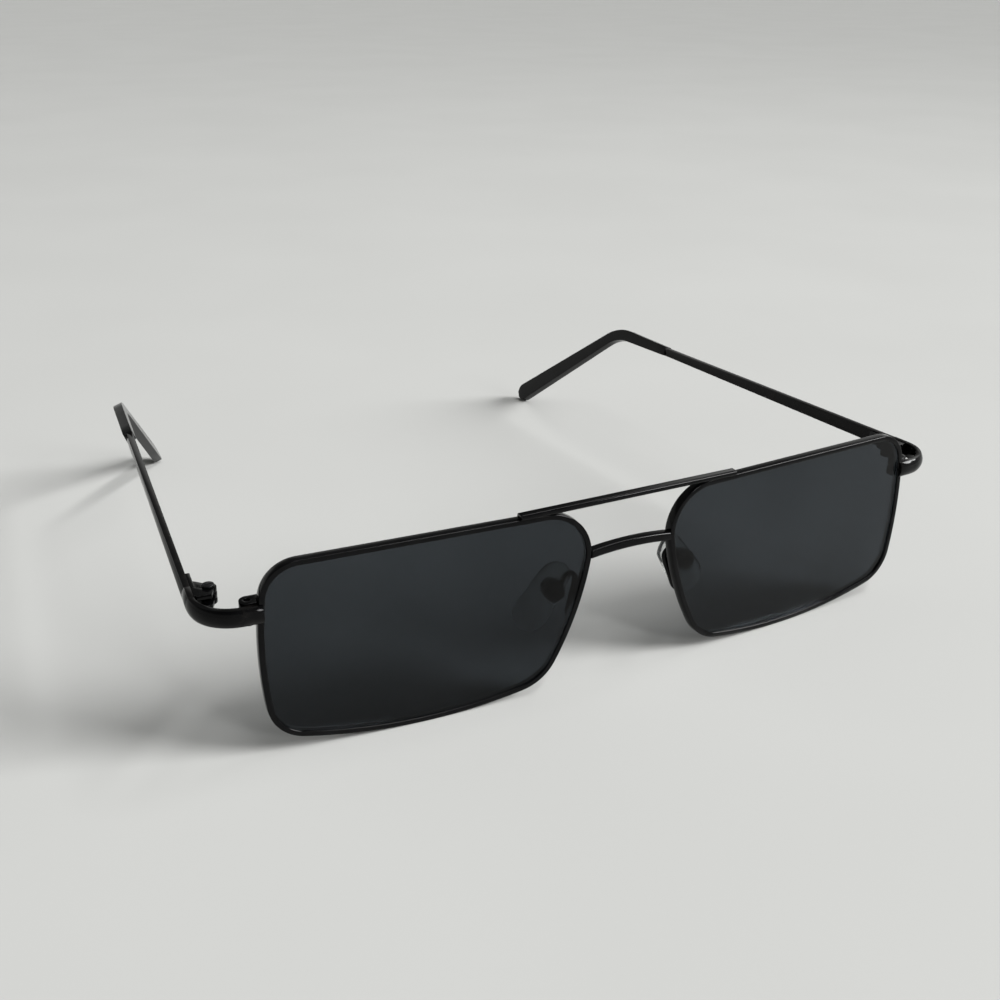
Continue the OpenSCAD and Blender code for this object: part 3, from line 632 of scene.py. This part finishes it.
# %% Darkened steel
darkened_steel, tree, shader = new_finish("darkened_steel")
marks = grain(tree, size=0.25, detail=4.0, stretch=(1, 1, 8))
tree.links.new(
    shade_range(tree, marks, dark=(0.022, 0.022, 0.024), light=(0.05, 0.05, 0.053)),
    shader.inputs["Base Color"],
)
tree.links.new(value_range(tree, marks, low=0.26, high=0.42), shader.inputs["Roughness"])
tree.links.new(relief(tree, marks, height=0.004, strength=0.4), shader.inputs["Normal"])
shader.inputs["Metallic"].default_value = 1.0
print("darkened steel:", len(tree.nodes), "nodes")

# %% [markdown]
# **Smoke lens.** A dark lens does two things at once: it lets a few percent of the
# light through, coloured a cool grey, and it mirrors another few percent on its
# polished face. A refracting shader with a dark colour gives both. Faint smears
# change its gloss, which keeps the mirror from looking like a computer's.

# %% Smoke lens
smoke_lens, tree, shader = new_finish("smoke_lens")
tint = grain(tree, size=30, detail=1.0)
tree.links.new(
    shade_range(tree, tint, dark=(0.032, 0.038, 0.044), light=(0.040, 0.047, 0.054)),
    shader.inputs["Base Color"],
)
smears = grain(tree, size=6, detail=4.0, stretch=(1, 1, 0.4))
tree.links.new(value_range(tree, smears, low=0.01, high=0.05), shader.inputs["Roughness"])
shader.inputs["Transmission Weight"].default_value = 1.0
shader.inputs["IOR"].default_value = 1.25
print("smoke lens:", len(tree.nodes), "nodes")

# %% [markdown]
# **Moulded black.** The tips are gloss black plastic, a little softer in its gloss
# than the lacquer, with the faint grain of the mould.

# %% Moulded black plastic
moulded_black, tree, shader = new_finish("moulded_black")
plastic = shade_range(
    tree, grain(tree, size=4), dark=(0.002, 0.002, 0.002), light=(0.0055, 0.0055, 0.006)
)
tree.links.new(plastic, shader.inputs["Base Color"])
tree.links.new(
    value_range(tree, grain(tree, size=4), low=0.13, high=0.24), shader.inputs["Roughness"]
)
mould_grain = grain(tree, size=0.6, detail=1.0)
tree.links.new(relief(tree, mould_grain, height=0.002, strength=0.3), shader.inputs["Normal"])
shader.inputs["IOR"].default_value = 1.28
print("moulded black:", len(tree.nodes), "nodes")

# %% [markdown]
# **Clear soft plastic.** The pads let light through but are slightly milky, and
# handling leaves their surface satin in places.

# %% Clear soft plastic
clear_soft, tree, shader = new_finish("clear_soft")
tree.links.new(
    shade_range(tree, grain(tree, size=3), dark=(0.88, 0.90, 0.89), light=(0.94, 0.95, 0.945)),
    shader.inputs["Base Color"],
)
tree.links.new(
    value_range(tree, grain(tree, size=1.5), low=0.05, high=0.16), shader.inputs["Roughness"]
)
satin = grain(tree, size=0.8, detail=2.0)
tree.links.new(relief(tree, satin, height=0.008, strength=0.35), shader.inputs["Normal"])
shader.inputs["Transmission Weight"].default_value = 0.93
shader.inputs["IOR"].default_value = 1.22
print("clear soft plastic:", len(tree.nodes), "nodes")

# %% [markdown]
# The finishes go on by kind of piece, so that left and right always match. The CAD
# nodes that a modelled piece replaces are painted as well, which costs nothing.

# %% Give each piece its finish
def paint(piece, finish):
    piece.data.materials.clear()
    piece.data.materials.append(finish)


finishes = {
    "brow_bar": black_lacquer, "bridge": black_lacquer, "eyewire": black_lacquer,
    "closing_block_upper": black_lacquer, "closing_block_lower": black_lacquer,
    "end_piece": black_lacquer, "temple": black_lacquer, "pad_arm": black_lacquer,
    "pad_box": black_lacquer, "lens": smoke_lens, "temple_tip": moulded_black,
    "nose_pad": clear_soft, "front_hinge": black_lacquer, "temple_hinge": black_lacquer,
    "hinge_screw": darkened_steel, "rim_lock_screw": darkened_steel,
    "pad_screw": darkened_steel, "pad_insert": darkened_steel,
}
for name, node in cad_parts.items():
    paint(node, finishes[kind_of(name)])
for piece in (left_tip, right_tip):
    paint(piece, moulded_black)
for piece in (left_pad, right_pad):
    paint(piece, clear_soft)
for piece in (left_arm, right_arm):
    paint(piece, black_lacquer)
print("painted", len(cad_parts), "nodes and the six modelled pieces")

# %% [markdown]
# ## Table, light and camera
# A plain pale table holds the soft shadow. It is far larger than the glasses, so it
# and the lamps are written in metres. Its colour hardly varies, because a pattern
# would draw the eye away from the thin wires.

# %% Table
TABLE_SIZE = 6

clear_hands()
bpy.ops.mesh.primitive_plane_add(size=TABLE_SIZE)
table = bpy.context.object
table.name = table.data.name = "table"
table_top, tree, shader = new_finish("table_top")
clouds = grain(tree, size=90, detail=2.0)
tree.links.new(
    shade_range(tree, clouds, dark=(0.508, 0.511, 0.498), light=(0.520, 0.523, 0.510)),
    shader.inputs["Base Color"],
)
wipes = grain(tree, size=60, detail=2.0)
tree.links.new(value_range(tree, wipes, low=0.54, high=0.57), shader.inputs["Roughness"])
shader.inputs["IOR"].default_value = 1.04
paint(table, table_top)
print("table", [round(v, 2) for v in table.dimensions], "m")

# %% [markdown]
# The main light is wide and soft, as from a window. It comes from the glasses' left,
# somewhat in front and about thirty degrees up, so the shadows fall to the other
# side. It is a sun lamp with a wide disc, and not a panel, so that the table is lit
# evenly however far one sees it. Two smaller lights are there for the metal: one in
# front, which the half-round end pieces mirror as one bright line, and a long narrow
# panel overhead for the upper edges.

# %% Light
def aimed_light(name, kind, place, strength):
    """A lamp at place, in metres, that shines at the middle of the table."""
    bpy.ops.object.light_add(type=kind, location=place)
    lamp = bpy.context.object
    lamp.name = name
    lamp.data.energy = strength
    lamp.rotation_mode = "QUATERNION"
    lamp.rotation_quaternion = (-Vector(place)).to_track_quat("-Z", "Y")
    return lamp


window_light = aimed_light("window_light", "SUN", (3.00, -1.94, 1.98), strength=4.55)
window_light.data.angle = math.radians(25)
front_light = aimed_light("front_light", "SUN", (0.92, -2.92, 1.48), strength=0.6)
front_light.data.angle = math.radians(11)
thread_light = aimed_light("thread_light", "AREA", (0.30, -0.30, 0.95), strength=5.0)
thread_light.data.shape = "RECTANGLE"
thread_light.data.size = 1.1
thread_light.data.size_y = 0.10
bpy.context.scene.view_settings.view_transform = "Standard"
for lamp in (window_light, front_light, thread_light):
    place = [round(v, 2) for v in lamp.location]
    print(lamp.name, lamp.data.type, round(lamp.data.energy, 2), place)

# %% [markdown]
# The surroundings light the glasses only dimly, but behind the table one should see a
# pale room, and see it just as pale through a lens or mirrored in the metal. So the
# world gets two shades, a dim fill and a pale backdrop, and is asked further down
# which of them a ray meets.

# %% Two shades of the room
surroundings = bpy.data.worlds.new("surroundings")
surroundings.use_nodes = True
bpy.context.scene.world = surroundings
tree = surroundings.node_tree
fill = tree.nodes["Background"]
fill.inputs["Color"].default_value = (0.152, 0.154, 0.149, 1)
backdrop = tree.nodes.new("ShaderNodeBackground")
backdrop.inputs["Color"].default_value = (0.56, 0.565, 0.55, 1)
for shade in (fill, backdrop):
    print([round(v, 3) for v in shade.inputs["Color"].default_value][:3])

# %% [markdown]
# The backdrop stands behind the table like a wall. It fades into the dim room above,
# which keeps the upper side of the black wire black. A ray's height in the room is
# the Z of its direction, which is the sine of how steeply it looks up.

# %% How high the backdrop reaches
WALL_FULL_UP_TO = 13
WALL_GONE_FROM = 27

direction = tree.nodes.new("ShaderNodeTexCoord")
height = tree.nodes.new("ShaderNodeSeparateXYZ")
tree.links.new(direction.outputs["Generated"], height.inputs["Vector"])
wall = tree.nodes.new("ShaderNodeMapRange")
wall.interpolation_type = "SMOOTHSTEP"
wall.inputs["From Min"].default_value = math.sin(math.radians(WALL_GONE_FROM))
wall.inputs["From Max"].default_value = math.sin(math.radians(WALL_FULL_UP_TO))
tree.links.new(height.outputs["Z"], wall.inputs["Value"])
print("backdrop fades between", WALL_FULL_UP_TO, "and", WALL_GONE_FROM, "degrees up")

# %% [markdown]
# A ray from the camera, through something clear or off something glossy meets the
# backdrop. One that only brings light meets the dim fill.

# %% Which rays meet the backdrop
ray = tree.nodes.new("ShaderNodeLightPath")
seen = combined(tree, "MAXIMUM", ray.outputs["Is Camera Ray"], ray.outputs["Is Glossy Ray"])
seen = combined(tree, "MAXIMUM", seen, ray.outputs["Is Transmission Ray"])
shown = combined(tree, "MULTIPLY", wall.outputs["Result"], seen)
choice = tree.nodes.new("ShaderNodeMixShader")
tree.links.new(shown, choice.inputs["Fac"])
tree.links.new(fill.outputs["Background"], choice.inputs[1])
tree.links.new(backdrop.outputs["Background"], choice.inputs[2])
tree.links.new(choice.outputs["Shader"], tree.nodes["World Output"].inputs["Surface"])
print("surroundings:", len(tree.nodes), "nodes")

# %% [markdown]
# The camera stands where the photograph was taken from: in front, above and to one
# side of the glasses, close enough for the near rim to look larger than the far one.
# Its three angles are in radians. Its focal length was found in pixels, for a picture
# a thousand pixels wide, and is turned into that of a common sensor.

# %% Camera
CAMERA_PLACE = (-105.2217, -222.0381, 100.1030 + LENS_CENTRE_UP)
TURN_RIGHT, LOOK_DOWN, LEAN = 0.478434, 0.424003, 0.008863
SENSOR_WIDTH = 36
FOCAL_PIXELS, PICTURE_PIXELS = 1235, 1000

ahead = Vector((
    math.sin(TURN_RIGHT) * math.cos(LOOK_DOWN),
    math.cos(TURN_RIGHT) * math.cos(LOOK_DOWN),
    -math.sin(LOOK_DOWN),
))
level = Vector((math.cos(TURN_RIGHT), -math.sin(TURN_RIGHT), 0))
above = level.cross(ahead)
right = math.cos(LEAN) * level + math.sin(LEAN) * above
top = -math.sin(LEAN) * level + math.cos(LEAN) * above
facing = Matrix((
    (right.x, top.x, -ahead.x, 0), (right.y, top.y, -ahead.y, 0),
    (right.z, top.z, -ahead.z, 0), (0, 0, 0, 1),
))
bpy.ops.object.camera_add()
camera = bpy.context.object
camera.name = "photograph_camera"
camera.data.sensor_width = SENSOR_WIDTH
camera.data.lens = SENSOR_WIDTH * FOCAL_PIXELS / PICTURE_PIXELS
camera.data.clip_start = 0.005
camera.data.clip_end = 20
camera.matrix_world = Matrix.Translation(Vector(CAMERA_PLACE) * MM) @ facing
bpy.context.scene.camera = camera
print("camera at", [round(v, 1) for v in CAMERA_PLACE], "mm, lens", round(camera.data.lens, 2))
